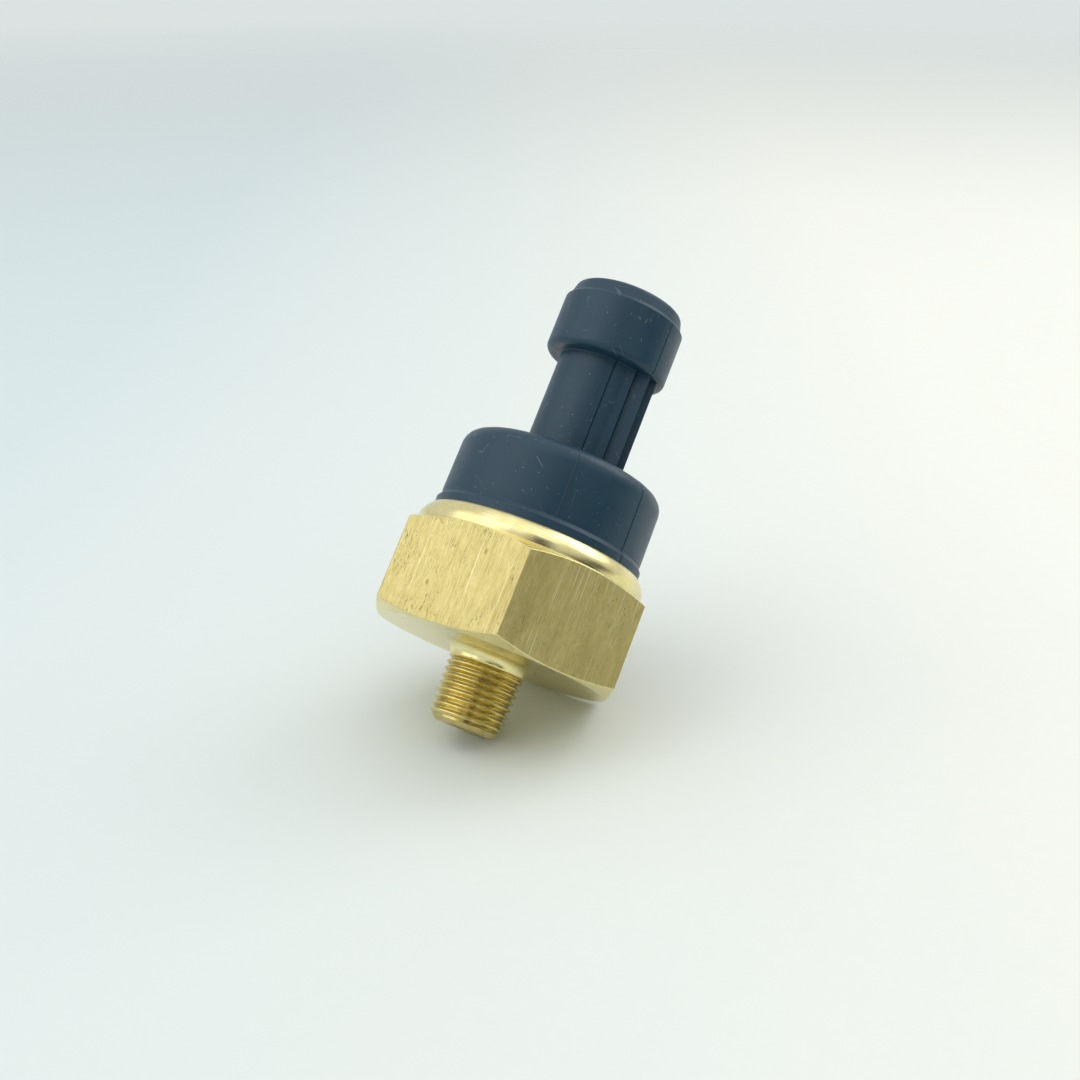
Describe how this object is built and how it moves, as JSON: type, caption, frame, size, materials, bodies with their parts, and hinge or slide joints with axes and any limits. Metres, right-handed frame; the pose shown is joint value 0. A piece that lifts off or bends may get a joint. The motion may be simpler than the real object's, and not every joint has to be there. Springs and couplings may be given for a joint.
{
  "type": "pressure switch",
  "caption": "Pressure switch with a brass hexagon body, tapered male pipe thread, crimped black connector housing with a round socket of blades, and a snap-disc changeover contact inside.",
  "frame": {"origin": "centre of the hexagon's lower face, where the threaded port begins", "axes": "+Z along the switch's axis towards the connector's mouth, the port points to -Z; +X towards a flat of the hexagon and the rail on the neck; a corner of the hexagon points to -Y"},
  "size_m": [0.032, 0.037, 0.0623],
  "materials": {
    "brass_body": "drawn hexagon bar with turned faces, satin",
    "black_plastic": "satin moulded nylon",
    "rubber_seal": "smooth",
    "diaphragm_film": "clear amber film",
    "steel": "turned",
    "brass_ring": "turned",
    "brown_phenolic": "moulded",
    "ceramic": "ground",
    "spring_copper": "rolled strip",
    "silver_contact": "coined",
    "tinned_terminal": "tin plated",
    "brass_rivet": "headed",
    "spring_steel": "drawn wire",
    "red_base": "moulded",
    "sealant": "cast"
  },
  "bodies": {
    "switch_body": {"hex_body": "brass_body", "port_seal_ring": "rubber_seal", "diaphragm": "diaphragm_film", "piston_guide": "steel", "disc_ring": "brass_ring", "snap_disc": "steel", "pin_guide": "brown_phenolic", "pivot_pin": "steel", "common_terminal": "tinned_terminal", "open_terminal": "tinned_terminal", "closed_terminal": "tinned_terminal", "open_contact": "silver_contact", "closed_contact": "silver_contact", "terminal_rivets": "brass_rivet", "return_spring": "spring_steel", "switch_base": "red_base", "terminal_sealant": "sealant", "connector_housing": "black_plastic", "housing_seal_ring": "rubber_seal"},
    "piston_body": {"piston": "steel"},
    "pin_body": {"transfer_pin": "ceramic"},
    "arm_body": {"contact_arm": "spring_copper", "moving_contact": "silver_contact"}
  },
  "joints": [
    {"name": "piston_travel", "type": "slide", "parent": "switch_body", "child": "piston_body", "axis": [0, 0, 1], "range_m": [0, 0.0004], "stiffness_N_per_m": 600, "springref_m": -0.0004, "deforming": ["diaphragm", "snap_disc", "return_spring"]},
    {"name": "pin_travel", "type": "slide", "parent": "switch_body", "child": "pin_body", "axis": [0, 0, 1], "range_m": [0, 0.0004]},
    {"name": "arm_pivot", "type": "hinge", "parent": "switch_body", "child": "arm_body", "pos_m": [-0.006, 0, 0.015], "axis": [0, -1, 0], "range_deg": [0, 3.83]}
  ],
  "couplings": [
    {"joint": "pin_travel", "follows": "piston_travel", "ratio": 1},
    {"joint": "arm_pivot", "follows": "piston_travel", "rad_per_m": 166.67}
  ]
}
